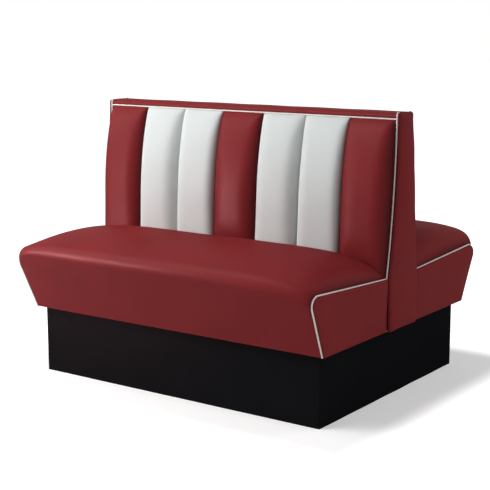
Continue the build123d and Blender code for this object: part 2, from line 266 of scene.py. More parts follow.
def loft_loops(loops, capped=True):
    """Points and faces of a skin over closed loops of equal length."""
    rows, count = len(loops), len(loops[0])
    points = np.concatenate(loops)
    faces = []
    for r in range(rows - 1):
        for c in range(count):
            n = (c + 1) % count
            faces.append((r * count + c, r * count + n, (r + 1) * count + n, (r + 1) * count + c))
    if capped:
        faces.append(tuple(range(count)))
        faces.append(tuple((rows - 1) * count + c for c in range(count)))
    return points, faces


def sharpen(piece, degrees):
    """Smooth shading that breaks at real edges."""
    piece.data.set_sharp_from_angle(angle=math.radians(degrees))


def points_of(piece):
    """A piece's points as an array."""
    co = np.zeros(len(piece.data.vertices) * 3, np.float32)
    piece.data.vertices.foreach_get("co", co)
    return co.reshape(-1, 3)


def move_points(piece, co):
    """Puts a piece's points at new places."""
    piece.data.vertices.foreach_set("co", co.ravel())
    piece.data.update()
    return piece


def mark_seams(piece, closeness):
    """Stores how close each point is to a seam, from 0 to 1, for the shade that gathers there."""
    held = piece.data.attributes.new("seam", "FLOAT", "POINT")
    held.data.foreach_set("value", np.clip(closeness, 0, 1).astype(np.float32))
    return piece


def turned(piece, name):
    """A copy of a front piece, turned half a turn to the rear half."""
    mesh = piece.data.copy()
    mesh.name = name
    copy = bpy.data.objects.new(name, mesh)
    bpy.context.scene.collection.objects.link(copy)
    return move_points(copy, points_of(copy) * np.array([-1, -1, 1], np.float32))


def turned_away(piece, name):
    """Only the turned copy is kept."""
    copy = turned(piece, name)
    bpy.data.objects.remove(piece)
    return copy


def settle(piece, nodes):
    """Rides on the root and stands for its nodes, which it hides."""
    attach(piece, "root")
    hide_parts(*nodes)
    return piece


# Lines and curves, as (reach, height)

def on_circle(centre, radius, angle):
    """The point of a circle at an angle."""
    return (centre[0] + radius * math.cos(angle), centre[1] + radius * math.sin(angle))


def straight(start, end, count):
    """Points from start to end, both of them included."""
    return [(start[0] + (end[0] - start[0]) * t, start[1] + (end[1] - start[1]) * t)
            for t in np.linspace(0, 1, count)]


def dense(points, step):
    """The same closed outline with points no further apart than a step."""
    result = []
    for a, b in zip(points, points[1:] + points[:1]):
        count = max(1, int(math.ceil(math.hypot(b[0] - a[0], b[1] - a[1]) / step)))
        result += straight(a, b, count + 1)[:-1]
    return result


def run_along(points):
    """Distance of each point from the first, along the path."""
    return np.concatenate([[0], np.cumsum(np.linalg.norm(np.diff(points, axis=0), axis=1))])


def even_path(points, step):
    """The same path with evenly spaced points."""
    points = np.array(points)
    run = run_along(points)
    at = np.linspace(0, run[-1], max(2, int(run[-1] / step)))
    return np.column_stack([np.interp(at, run, points[:, k]) for k in range(3)])


def spread(count, lean):
    """Shares from -1 to 1, closer together near the ends."""
    t = np.linspace(-1, 1, count)
    return np.sign(t) * (1 - (1 - np.abs(t)) ** lean)


def eased(share):
    """A share from 0 to 1 with a soft start and end."""
    return share * share * (3 - 2 * share)


def back_reach(height):
    """Reach of the backrest's bowed edge."""
    chord_reach = JOINT_REACH - SHOULDER_REACH
    chord_height = SHOULDER_HEIGHT - JOINT_HEIGHT
    chord = math.hypot(chord_reach, chord_height)
    radius = (chord ** 2 / 4 + BOW ** 2) / (2 * BOW)
    away = radius - BOW
    centre_reach = (JOINT_REACH + SHOULDER_REACH) / 2 + away * chord_height / chord
    centre_height = (JOINT_HEIGHT + SHOULDER_HEIGHT) / 2 + away * chord_reach / chord
    return centre_reach - math.sqrt(radius ** 2 - (height - centre_height) ** 2)


def seam_reach(height):
    """Reach of the seam between a seat's end panel and the backrest's."""
    lean = (JOINT_REACH - BACK_FOOT_REACH) / (JOINT_HEIGHT - PLINTH_TOP)
    return BACK_FOOT_REACH + SEAM + lean * (height - PLINTH_TOP)


def channel_front(height):
    """Reach of a channel's crest at a height."""
    share = max(0.0, (height - CHANNEL_FULL) / (CHANNEL_TOP - CHANNEL_FULL))
    return CHANNEL_TOP_REACH + (CHANNEL_REACH - CHANNEL_TOP_REACH) * (1 - share ** 2) ** TOP_CURVE


def flute(across, square=FLUTE_SQUARE):
    """How far a channel stands out, as a share of its thickness, at a share across its half width."""
    return (1 - abs(across) ** square) ** FLUTE_CURVE


def channel_share(across, x, end_square):
    """A channel's thickness share along the booth: squarer at the ends, shallow where white meets red."""
    place = x / PITCH
    if abs(place) > CHANNELS / 2 - 0.5:
        return flute(across, end_square)
    for seam in SHALLOW_SEAMS:
        if seam - 0.5 < place < seam + 0.5:
            square = LEFT_SQUARE if place < seam else RIGHT_SQUARE
            return SHALLOW_SHARE + (1 - SHALLOW_SHARE) * flute(across, square)
    return flute(across)


def across_channel(x):
    """How far a place along the booth is from its channel's middle, as a share of the half width."""
    return np.abs((x + PITCH / 2) % PITCH - PITCH / 2) / (PITCH / 2)


def hug_reach(share):
    """Reach of the channels where the seats hug them, from a groove's bottom at share 0 to a crest at 1."""
    bottom = back_reach(HUG_HEIGHT) - GROOVE_SINK
    return bottom + (CHANNEL_REACH - bottom) * share


# Seats

def seat_frame(fill, back_fill, pinch=0.0):
    """Nose circle and roof of the seat's section at the crown's fills, with a sharper nose where pinched."""
    start_height = NOSE_START + NOSE_RISE * fill + PINCH_RISE * pinch
    start_reach = FOOT_REACH + (start_height - PLINTH_TOP) * math.tan(RAKE) + NOSE_PUSH * fill
    radius = NOSE_RADIUS + NOSE_GROWTH * fill - PINCH_SHARPENING * pinch
    centre = (start_reach - radius * math.cos(RAKE), start_height + radius * math.sin(RAKE))
    back = (JOINT_REACH, SEAT_BACK + BACK_RISE * back_fill)
    run = (back[0] - centre[0], back[1] - centre[1])
    last = math.atan2(run[1], run[0]) - math.acos(radius / math.hypot(*run)) - DOME * fill
    return centre, radius, last, back


def seat_roof(start, turn, back, stop_reach):
    """The roof from the nose's end: an arc that goes on in the nose's direction, cut off at a reach."""
    run = (back[0] - start[0], back[1] - start[1])
    chord = math.hypot(*run)
    along = (run[0] / chord, run[1] / chord)
    away = (along[1], -along[0])
    half_turn = math.atan2(run[1], run[0]) % (2 * math.pi) - turn - math.pi / 2
    radius = chord / (2 * math.sin(half_turn)) if half_turn > 1e-4 else None
    stop = (start[0] - stop_reach) / (start[0] - back[0])
    roof = []
    for t in np.linspace(0, 1, SECTION["roof"])[1:]:
        s = t * stop
        bulge = 0.0
        if radius:
            bulge = math.sqrt(radius ** 2 - ((s - 0.5) * chord) ** 2) - radius * math.cos(half_turn)
        roof.append((start[0] + along[0] * chord * s + away[0] * bulge,
                     start[1] + along[1] * chord * s + away[1] * bulge))
    return roof


def seat_loop(x, crown, flank_square):
    """Closed loop of the seat cushion's section at a place along the booth."""
    share = min(1.0, abs(x) / HALF)
    left = x < 0
    fill = (1 - share ** (crown if left else FRONT_CROWN)) ** CROWN_CURVE
    back_fill = (1 - share ** BACK_CROWN) ** BACK_CURVE
    pinch = 4 * fill * (1 - fill) if left and crown == FRONT_CROWN else 0.0
    centre, radius, last, back = seat_frame(fill, back_fill, pinch)
    nose = [on_circle(centre, radius, a) for a in np.linspace(-RAKE, last, SECTION["nose"])]
    front = straight((FOOT_REACH, PLINTH_TOP), nose[0], SECTION["front"])[:-1]
    stop_reach = hug_reach(channel_share(across_channel(x), x, flank_square))
    if abs(x) < HALF - 1e-6:
        stop_reach += HUG_GAP
    roof = seat_roof(nose[-1], last, back, stop_reach)
    tuck = roof[-1]
    low_tuck = (tuck[0], FOAM_FOOT)
    inset = COVER_INSET / math.cos(RAKE)
    inner_top = (FOOT_REACH + (FOAM_FOOT - PLINTH_TOP) * math.tan(RAKE) - inset, FOAM_FOOT)
    inner_foot = (FOOT_REACH - inset, PLINTH_TOP)
    rear = straight(tuck, low_tuck, SECTION["rear"])[1:]
    under = straight(low_tuck, inner_top, SECTION["under"])[1:]
    inside = straight(inner_top, inner_foot, SECTION["inside"])[1:]
    return np.array([(x, -reach, height) for reach, height in front + nose + roof + rear + under + inside])


def soften_seat(skin, outer):
    """Pulls and slack of the cover: short puckers along the end piping and slow unevenness over the crown."""
    end_fade, foot_fade, pucker_place, pucker_fade, pucker_depth = 0.012, 0.02, 0.016, 0.030, 0.0002
    front_and_up = np.array([0, -0.5, 0.8])
    part = skin[:, :outer]
    normal = np.cross(np.gradient(part, axis=0), np.gradient(part, axis=1))
    normal = normal / np.maximum(np.linalg.norm(normal, axis=2, keepdims=True), 1e-12)
    normal = normal * np.sign((normal * front_and_up).sum(axis=2, keepdims=True))
    run = run_along(part[len(part) // 2])
    from_end = HALF - np.abs(part[..., 0])
    slow = uneven(part, *COVER_UNEVEN) * (1 - np.exp(-from_end / end_fade))
    near = (from_end / pucker_place) * np.exp(1 - from_end / pucker_place)
    pucker = pulls(run, *SEAT_PULLS)[None, :] * np.exp(-from_end / pucker_fade) * near * pucker_depth
    move = (slow + pucker) * (1 - np.exp(-run / foot_fade)[None, :])
    skin[:, :outer] = part + normal * move[..., None]


def draw_in(piece):
    """The cover is pulled in at both ends of the seat's foot, so the ends lean out a little."""
    co = points_of(piece)
    low = np.clip((NOSE_START - co[:, 2]) / (NOSE_START - PLINTH_TOP), 0, 1)
    co[:, 0] *= 1 - FOOT_DRAW * low
    return move_points(piece, co)


def seat_cushion(name, material, crown, flank_square):
    """Crowned seat: one skin up the raked front, round the nose, over the roof and in behind."""
    foot_fade, end_strength = 0.02, 0.8
    stations = np.array(sorted(set(np.round(HALF * spread(SEAT_STATIONS, 1.7), 6))))
    skin = np.array([seat_loop(x, crown, flank_square) for x in stations])
    outer = SECTION["front"] - 1 + SECTION["nose"] + SECTION["roof"] - 1
    soften_seat(skin, outer)
    points, faces = loft_loops(list(skin))
    piece = draw_in(add_mesh(name, points, faces, material))
    sharpen(piece, 50)
    co = points_of(piece)
    across = np.minimum(1.0, across_channel(co[:, 0]))
    depth = np.array([channel_share(a, x, flank_square) for a, x in zip(across, co[:, 0])])
    tuck = np.maximum(0, -co[:, 1] - hug_reach(depth))
    end = np.maximum(0, HALF - np.abs(co[:, 0]))
    upper = np.clip((co[:, 2] - PLINTH_TOP) / foot_fade, 0, 1)
    near = np.exp(-tuck / GROOVE_SHADE) + end_strength * np.exp(-end / END_SHADE)
    return mark_seams(piece, near * upper)


# Channels

def channel_loop(height, number, flank_square):
    """Closed plan loop of one channel at a height, round the channel's own middle."""
    pull_width, pull_depth = 0.012, 0.0006
    left_share = math.cos(number * 1.9)
    back = back_reach(height) - CHANNEL_SINK
    half = PITCH / 2 - CHANNEL_GAP
    middle = (number - MIDDLE_CHANNEL) * PITCH
    across = np.sin(np.linspace(-math.pi / 2, math.pi / 2, CHANNEL_POINTS))
    share = np.array([channel_share(a, middle + a * half, flank_square) for a in across])
    reach = back + (channel_front(height) - back) * share
    edge = np.exp(-(1 - np.abs(across)) * half / pull_width) * (1 - np.abs(across) ** 12)
    pull = pulls(height, *CHANNEL_PULLS, phase=number * 2.3)
    reach = reach + edge * pull * pull_depth * np.where(across > 0, 1.0, left_share)
    outer = np.stack([across * half, -reach, np.full(CHANNEL_POINTS, height)], axis=1)
    rear = np.array([(half / 3, -back, height), (-half / 3, -back, height)])
    return np.concatenate([outer, rear])


def channel(name, number, material, flank_square):
    """One padded flute with small pulls along its seams, squarer on an end flute's outer flank."""
    front_zone, seam_start = 0.06, 0.78
    steps = 1 - (1 - np.linspace(0, 1, CHANNEL_LEVELS)) ** 1.5
    heights = CHANNEL_FOOT + (CHANNEL_TOP - CHANNEL_FOOT) * steps
    points, faces = loft_loops([channel_loop(h, number, flank_square) for h in heights])
    middle = (number - MIDDLE_CHANNEL) * PITCH
    points = points + np.array([middle, 0, 0])
    scale, seed, depth = CHANNEL_UNEVEN
    low = uneven(points, scale, seed + number, depth)
    points[:, 1] -= np.where(points[:, 1] < -front_zone, low, 0)
    piece = add_mesh(name, points, faces, material)
    sharpen(piece, 60)
    share = np.abs(points_of(piece)[:, 0] - middle) / (PITCH / 2)
    return mark_seams(piece, ((share - seam_start) / (1 - seam_start)).clip(0, 1) ** 1.5)


# End panels

def pillow(name, outline, spine, material, side, thickness, bulge, rounding, neck=(0, 0)):
    """Padded panel over a (reach, height) outline: neck, rolled edge, then a slow swell to its spine."""
    outline = np.array(outline)
    low, high = np.array(spine[0]), np.array(spine[1])
    run = high - low
    t = np.clip(((outline - low) @ run) / (run @ run), 0, 1)
    heart = low + t[:, None] * run
    inward = heart - outline
    depth = np.maximum(np.linalg.norm(inward, axis=1), 1e-6)

    def ring(x, share):
        """The outline at a place along the booth, drawn towards the spine by a share."""
        drawn = outline + inward * share[:, None]
        return np.column_stack([np.full(len(drawn), x), -drawn[:, 0], drawn[:, 1]])

    neck_depth, neck_height = neck
    loops = [ring(HALF, neck_depth / depth)]
    if neck_depth:
        loops.append(ring(HALF + neck_height, neck_depth / depth))
        loops.append(ring(HALF + neck_height, 0 * depth))
    for share in 1 - np.cos(np.linspace(0, math.pi / 2, EDGE_RINGS)):
        rise = thickness - rounding + rounding * math.sqrt(1 - (1 - share) ** 2)
        loops.append(ring(HALF + rise, rounding * share / depth))
    start = rounding / depth
    for share in np.linspace(0, 1, SWELL_RINGS)[1:]:
        swell = bulge * math.sin(share * math.pi / 2) ** 0.9
        loops.append(ring(HALF + thickness + swell, start + (1 - start) * share))
    points, faces = loft_loops(loops, capped=False)
    faces.append(tuple(range(len(outline))))
    low = uneven(points, *PANEL_UNEVEN)
    points[:, 0] += np.where(points[:, 0] > HALF + thickness - 1e-4, low, 0)
    points[:, 0] *= side
    piece = add_mesh(name, points, faces, material)
    sharpen(piece, 60)
    out = np.abs(points_of(piece)[:, 0]) - HALF - neck_height
    return mark_seams(piece, np.exp(-np.maximum(0, out) / PANEL_SHADE))


def seat_edge(inset):
    """Foot, nose and roof of the seat's end outline, drawn in by an inset."""
    centre, radius, last, back = seat_frame(0, 0)
    foot = (FOOT_REACH - inset / math.cos(RAKE), PLINTH_TOP)
    nose = [on_circle(centre, radius - inset, a) for a in np.linspace(-RAKE, last, 15)]
    chord_angle = math.atan2(back[1] - nose[-1][1], back[0] - nose[-1][0])
    tip_reach = seam_reach(back[1] - inset)
    rise = (tip_reach - nose[-1][0]) * math.tan(chord_angle)
    return [foot] + nose + [(tip_reach, nose[-1][1] + rise)]


def seat_panel(side, material, name):
    """A seat's padded end panel."""
    outline = dense(seat_edge(SEAT_PANEL_INSET) + [(seam_reach(PLINTH_TOP), PLINTH_TOP)], SEAT_PANEL_STEP)
    return draw_in(pillow(name, outline, SEAT_SPINE, material, side, **SEAT_PADDING))


def back_edge(inset):
    """Front edge, top and rear edge of the backrest's end outline, drawn in by an inset."""
    bow = [(back_reach(h) - inset, h) for h in np.linspace(JOINT_HEIGHT, SHOULDER_HEIGHT, 40)]
    radius = END_RADIUS - inset
    centre = (SHOULDER_REACH - inset - radius, TOP - inset - radius)
    corner = [on_circle(centre, radius, a) for a in np.linspace(0, math.pi / 2, 9)]
    half = bow + corner
    return half + [(-r, h) for r, h in reversed(half)]


def back_panel(side, material, name):
    """The backrest's padded end: fuller below its shoulders, its left front or right rear edge pushed out."""
    slim_from, slim_over = 0.93, 0.12
    fullness, top_fullness = 1.22, {-1: 1.22, 1: 0.95}
    push, push_over = 0.0045, 0.04
    foot = (BACK_FOOT_REACH - BACK_PANEL_INSET, PLINTH_TOP)
    outline = dense([foot] + back_edge(BACK_PANEL_INSET) + [(-foot[0], PLINTH_TOP)], BACK_PANEL_STEP)
    piece = pillow(name, outline, BACK_SPINE, material, side, **BACK_PADDING)
    co = points_of(piece)
    full = eased(np.clip((slim_from - co[:, 2]) / slim_over, 0, 1))
    least = top_fullness[side]
    co[:, 0] = side * (HALF + (np.abs(co[:, 0]) - HALF) * (least + (fullness - least) * full))
    above = np.clip((co[:, 2] - HUG_HEIGHT) / push_over, 0, 1)
    outward = np.clip(co[:, 1] * side / push_over, 0, 1)
    co[:, 1] += side * push * outward * full * above
    return move_points(piece, co)


# Piping

def tube(name, path, material):
    """Piping: a round cord in a leatherette strip, with the strip's slight ripple."""
    path = even_path(path, PIPING_STEP)
    tangent = np.gradient(path, axis=0)
    tangent /= np.linalg.norm(tangent, axis=1, keepdims=True)
    steady = np.array([1.0, 0, 0]) if abs(tangent[0][0]) < 0.9 else np.array([0, 0, 1.0])
    angles = np.linspace(0, 2 * math.pi, PIPING_SIDES, endpoint=False)
    loops = []
    for point, direction, s in zip(path, tangent, run_along(path)):
        one = np.cross(direction, steady)
        one /= np.linalg.norm(one)
        two = np.cross(direction, one)
        size = PIPING * (1 + sum(deep * math.sin(s * rate + phase) for deep, rate, phase in PIPING_RIPPLES))
        loops.append(np.array([point + size * (math.cos(a) * one + math.sin(a) * two) for a in angles]))
    points, faces = loft_loops(loops)
    piece = add_mesh(name, points, faces, material)
    sharpen(piece, 60)
    return piece


def seat_welt(side, material, name):
    """Piping up the seat's raked front, round the nose and back along the roof's end."""
    path = [(side * PIPING_PLACE, -r, h) for r, h in seat_edge(PIPING_SINK)]
    return draw_in(tube(name, path, material))


def back_welt(side, material, name):
    """Piping up the front edge, sunk in the seam over the top, down the rear edge and on inside the panel."""
    top_sink, sink_start, sink_over = 0.0050, 0.008, 0.016
    top_zone, inner_reach = 0.03, SHOULDER_REACH - 0.01
    path = []
    for r, h in dense(back_edge(PIPING_SINK), PIPING_STEP)[:-1]:
        if h < TOP - top_zone and abs(r) < inner_reach:
            continue
        middle = min(1.0, max(0.0, (SHOULDER_REACH - sink_start - abs(r)) / sink_over))
        path.append((side * PIPING_PLACE, -r, h - top_sink * eased(middle)))
    return tube(name, path, material)


def band_welt(material, name):
    """Piping along the foot of the top band."""
    reach = SHOULDER_REACH - PIPING_SINK
    return tube(name, [(-HALF, -reach, SHOULDER_HEIGHT), (HALF, -reach, SHOULDER_HEIGHT)], material)


# Top band

def band_loop(x):
    """Closed loop of the band's section at a place along the booth."""
    tuck, wall, first_angle, fullness, roundness = 0.0012, 0.010, 0.06, 0.42, 0.8
    swell_pitch, swell_depth, swell_start = 0.21, 0.0004, 0.02
    pull_depth, pull_fade = 0.00035, 0.008
    rise = TOP - BAND_FOOT
    half = [(SHOULDER_REACH - tuck, BAND_FOOT)]
    for a in np.linspace(first_angle, math.pi / 2, 16):
        half.append((SHOULDER_REACH * math.cos(a) ** fullness, BAND_FOOT + rise * math.sin(a) ** roundness))
    swell = swell_depth * math.sin(x * 2 * math.pi / swell_pitch)
    pull = pull_depth * pulls(x, *BAND_PULLS)
    points = []
    for r, h in half + [(-r, h) for r, h in reversed(half)]:
        near = math.exp(-(h - BAND_FOOT) / pull_fade)
        up = min(1.0, (h - BAND_FOOT) / swell_start)
        points.append((x, -(r + math.copysign(pull * near, r)), h + swell * up))
    inner = SHOULDER_REACH - wall
    for r, h in ((-inner, BAND_FOOT), (-inner, TOP - wall), (inner, TOP - wall), (inner, BAND_FOOT)):
        points.append((x, -r, h))
    return np.array(points)


def top_band(material):
    """Padded band over the top: full between its seams, with small pulls along the piping."""
    points, faces = loft_loops([band_loop(x) for x in HALF * spread(BAND_STATIONS, 1.5)])
    piece = add_mesh("top_band_pad", points, faces, material)
    sharpen(piece, 55)
    co = points_of(piece)
    end = HALF - np.abs(co[:, 0])
    return mark_seams(piece, np.exp(-(co[:, 2] - BAND_FOOT) / BAND_SHADE) + np.exp(-end / BAND_SHADE))


# Plinth covering

def sleeve_crease(along, height):
    """Depth of the two slanting creases near the left end of the plinth's front."""
    crease = np.zeros(len(along))
    for x0, x1, z0, z1, deep in CREASES:
        t = np.clip((along - x0) / (x1 - x0), 0, 1)
        line = z0 + (z1 - z0) * t
        crease += deep * np.exp(-((height - line) / CREASE_WIDTH) ** 2) * np.sin(t * math.pi)
    return crease


def plinth_sleeve(material):
    """Leatherette stretched round the plinth: rounded corners, open at the top and the foot, light pulls."""
    radius, front_zone, dent_stretch = SLEEVE_RADIUS, 0.002, 0.6
    outline = []
    for side_x, side_y, first in ((1, -1, -90), (1, 1, 0), (-1, 1, 90), (-1, -1, 180)):
        centre = (side_x * (PLINTH_HALF_X - radius), side_y * (PLINTH_HALF_Y - radius))
        outline += [on_circle(centre, radius, math.radians(a)) for a in np.linspace(first, first + 90, 7)]
    outline = np.array(dense(outline, SLEEVE_STEP))
    edge = np.roll(outline, -1, axis=0) - np.roll(outline, 1, axis=0)
    normal = np.column_stack([edge[:, 1], -edge[:, 0]])
    normal /= np.linalg.norm(normal, axis=1, keepdims=True)
    on_front = outline[:, 1] < -PLINTH_HALF_Y + front_zone
    loops = []
    for h in np.linspace(0.0, PLINTH_TOP, SLEEVE_LEVELS):
        level = np.full(len(outline), h)
        dent = uneven(np.column_stack([outline, level * dent_stretch]), *SLEEVE_UNEVEN)
        crease = np.where(on_front, sleeve_crease(outline[:, 0] + PLINTH_HALF_X, h), 0)
        loops.append(np.column_stack([outline + normal * (dent - crease)[:, None], level]))
    inside = outline - normal * SLEEVE
    inner = [np.column_stack([inside, np.full(len(inside), h)]) for h in (PLINTH_TOP, 0.0)]
    points, faces = loft_loops(loops + inner + [loops[0]], capped=False)
    piece = add_mesh("plinth_leatherette", points, faces, material)
    sharpen(piece, 50)
    return piece


# Shader nodes

def new_material(name):
    """A material, its node tree and its shader."""
    material = bpy.data.materials.new(name)
    material.use_nodes = True
    tree = material.node_tree
    return material, tree, tree.nodes["Principled BSDF"]


def feed(tree, source, target):
    """Gives an input its value, or links it to another node's output."""
    if isinstance(source, bpy.types.NodeSocket):
        tree.links.new(source, target)
    else:
        target.default_value = source


def node(tree, kind, inputs=None, **settings):
    """A new node with its settings and inputs."""
    made = tree.nodes.new(kind)
    for key, value in settings.items():
        setattr(made, key, value)
    for key, value in (inputs or {}).items():
        feed(tree, value, made.inputs[key])
    return made


def texture(tree, kind, place, scale, inputs, output="Fac", **settings):
    """What a texture gives at a place."""
    inputs = {"Vector": place, "Scale": scale, **inputs}
    return node(tree, f"ShaderNodeTex{kind}", inputs, **settings).outputs[output]


def ranged(tree, value, start, end, first, last):
    """Carries a value over from the range start to end to the range first to last."""
    inputs = {"Value": value, "From Min": start, "From Max": end, "To Min": first, "To Max": last}
    return node(tree, "ShaderNodeMapRange", inputs).outputs["Result"]


def computed(tree, operation, *terms):
    """The result of a math operation."""
    return node(tree, "ShaderNodeMath", dict(enumerate(terms)), operation=operation).outputs[0]


def laid_over(tree, below, colour, share):
    """A colour laid over what is below it, by a share."""
    inputs = {"Factor": share, "A": below, "B": (*colour, 1)}
    return node(tree, "ShaderNodeMix", inputs, data_type="RGBA").outputs["Result"]


def ramped(tree, value, dark, pale, start=0.0, end=1.0):
    """Colours from dark to pale along a value."""
    ramp = node(tree, "ShaderNodeValToRGB", {"Fac": value})
    first, last = ramp.color_ramp.elements
    first.position, first.color = start, (*dark, 1)
    last.position, last.color = end, (*pale, 1)
    return ramp.outputs["Color"]


def bumped(tree, height, strength, distance):
    """The normal over a height."""
    inputs = {"Height": height, "Strength": strength, "Distance": distance}
    return node(tree, "ShaderNodeBump", inputs).outputs["Normal"]


def object_place(tree):
    """The place on the object itself."""
    return node(tree, "ShaderNodeTexCoord").outputs["Object"]


# Materials

def leatherette(name, colour, deep, rough, shine, grain=0.00012, worn=0.12, shaded=0.0, hollow_shade=0.35):
    """Embossed vinyl: pebble grain, colour drift, worn ridges, painted shade in hollows and along seams,
    uneven gloss.
    """
    material, tree, shader = new_material(name)
    place = object_place(tree)
    slow = texture(tree, "Noise", place, 5.0, {"Detail": 4.0, "Roughness": 0.55})
    shade = laid_over(tree, (*deep, 1), colour, ranged(tree, slow, 0.3, 0.7, 0.0, 1.0))
    bend = node(tree, "ShaderNodeNewGeometry").outputs["Pointiness"]
    pale = [min(1.0, c * 1.25 + 0.03) for c in colour]
    shade = laid_over(tree, shade, pale, ranged(tree, bend, *RIDGES, 0.0, worn))
    # Painted shade: darker where the surface bends in.
    shade = laid_over(tree, shade, [c * HOLLOW_SHADE_TONE for c in deep], ranged(tree, bend, *HOLLOWS, hollow_shade, 0.0))
    seam = node(tree, "ShaderNodeAttribute", attribute_name="seam", attribute_type="GEOMETRY").outputs["Fac"]
    seam = computed(tree, "MULTIPLY", seam, shaded)
    shade = laid_over(tree, shade, [c * SEAM_SHADED for c in deep], seam)
    feed(tree, shade, shader.inputs["Base Color"])
    gloss = ranged(tree, slow, 0.25, 0.75, rough - 0.05, rough + 0.07)
    feed(tree, gloss, shader.inputs["Roughness"])
    feed(tree, gloss, shader.inputs["Coat Roughness"])
    shader.inputs["Specular IOR Level"].default_value = 0.0
    shader.inputs["Coat Weight"].default_value = shine
    shader.inputs["Coat IOR"].default_value = 1.5
    cells = texture(tree, "Voronoi", place, 620.0, {"Randomness": 0.9}, "Distance", feature="SMOOTH_F1")
    pores = texture(tree, "Noise", place, 1400.0, {"Detail": 3.0, "Roughness": 0.6})
    normal = bumped(tree, computed(tree, "MULTIPLY_ADD", pores, 0.35, cells), 0.5, grain)
    feed(tree, normal, shader.inputs["Normal"])
    feed(tree, normal, shader.inputs["Coat Normal"])
    return material


def timber(name, pale, dark, rings, stretch):
    """Planed wood: long grain, slow streaks and pores."""
    material, tree, shader = new_material(name)
    place = node(tree, "ShaderNodeMapping", {"Vector": object_place(tree), "Scale": stretch})
    place = place.outputs["Vector"]
    streak = texture(tree, "Noise", place, rings, {"Detail": 6.0, "Roughness": 0.6, "Distortion": 0.6})
    feed(tree, ramped(tree, streak, dark, pale, 0.3, 0.72), shader.inputs["Base Color"])
    feed(tree, ranged(tree, streak, 0, 1, 0.55, 0.75), shader.inputs["Roughness"])
    feed(tree, bumped(tree, streak, 0.4, 0.0004), shader.inputs["Normal"])
    return material


def plated_steel(name):
    """Zinc-plated fasteners with dull patches."""
    material, tree, shader = new_material(name)
    patch = texture(tree, "Noise", object_place(tree), 260.0, {"Detail": 4.0})
    feed(tree, ramped(tree, patch, (0.36, 0.36, 0.35), (0.62, 0.62, 0.64)), shader.inputs["Base Color"])
    feed(tree, ranged(tree, patch, 0, 1, 0.28, 0.5), shader.inputs["Roughness"])
    shader.inputs["Metallic"].default_value = 1.0
    return material


red = leatherette("red_leatherette", (0.235, 0.0235, 0.026), (0.205, 0.0205, 0.023), 0.43,
                  shine=0.15, shaded=0.75)
white = leatherette("white_leatherette", (0.715, 0.750, 0.742), (0.68, 0.714, 0.704), 0.4,
                    shine=0.06, worn=0.05, shaded=0.05, hollow_shade=0.1)
welt = leatherette("piping_leatherette", (0.90, 0.83, 0.80), (0.84, 0.77, 0.74), 0.45,
                   shine=0.12, grain=0.00008, worn=0.05)
black = leatherette("black_leatherette", (0.0084, 0.0086, 0.0098), (0.0068, 0.0070, 0.0082), 0.46,
                    shine=0.021, worn=0.02)
plywood = timber("plywood", (0.66, 0.50, 0.32), (0.50, 0.35, 0.20), 9.0, (1.0, 5.0, 5.0))
sawn = timber("sawn_timber", (0.70, 0.52, 0.33), (0.48, 0.31, 0.17), 7.0, (4.0, 1.0, 4.0))
zinc = plated_steel("zinc_steel")


# Pieces

settle(seat_cushion("front_seat_cushion", red, FRONT_CROWN, FRONT_FLANK),
       ("front_seat_cover", "front_seat_foam"))
rear = seat_cushion("rear_seat_form", red, REAR_CROWN, REAR_FLANK)
settle(turned_away(rear, "rear_seat_cushion"),
       ("rear_seat_cover", "rear_seat_foam"))

for number in range(1, CHANNELS + 1):
    opposite = CHANNELS + 1 - number
    is_red = number in RED_CHANNELS
    skin = red if is_red else white
    pad = channel(f"front_channel_pad_{number}", number, skin, FRONT_FLANK)
    settle(pad, (f"front_channel_{number}",))
    rear = channel(f"rear_channel_form_{number}", number, skin, REAR_FLANK)
    rear = turned_away(rear, f"rear_channel_pad_{opposite}")
    settle(rear, (f"rear_channel_{opposite}",))

for side, name, opposite in ((-1, "left", "right"), (1, "right", "left")):
    panel = seat_panel(side, red, f"front_seat_gusset_{name}")
    settle(panel, (f"front_seat_end_panel_{name}",))
    settle(turned(panel, f"rear_seat_gusset_{opposite}"),
           (f"rear_seat_end_panel_{opposite}",))
    edge = seat_welt(side, welt, f"front_seat_welt_{name}")
    settle(edge, (f"front_seat_piping_{name}",))
    settle(turned(edge, f"rear_seat_welt_{opposite}"), (f"rear_seat_piping_{opposite}",))
    panel = back_panel(side, red, f"back_gusset_{name}")
    settle(panel, (f"back_end_panel_{name}",))
    settle(back_welt(side, welt, f"back_welt_{name}"), (f"back_piping_{name}",))

settle(top_band(red), ("top_band",))
edge = band_welt(welt, "front_band_welt")
settle(edge, ("band_piping_front",))
settle(turned(edge, "rear_band_welt"), ("band_piping_rear",))
settle(plinth_sleeve(black),
       ("plinth_front_cover", "plinth_rear_cover", "plinth_left_cover", "plinth_right_cover"))

for name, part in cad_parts.items():
    if part.hide_render:
        continue
    if name == "fixing_bolts":
        finish = zinc
    elif name in ("plinth_corner_blocks", "plinth_cross_rails", "back_rails"):
        finish = sawn
    else:
        finish = plywood
    part.data.materials.clear()
    part.data.materials.append(finish)


# Floor

def background_rays(tree):
    """1 for rays that show the background, straight or in a reflection, 0 for those that light the object."""
    rays = node(tree, "ShaderNodeLightPath")
    result = rays.outputs["Is Camera Ray"]
    for kind in ("Is Glossy Ray", "Is Transmission Ray"):
        result = computed(tree, "MAXIMUM", result, rays.outputs[kind])
    return result


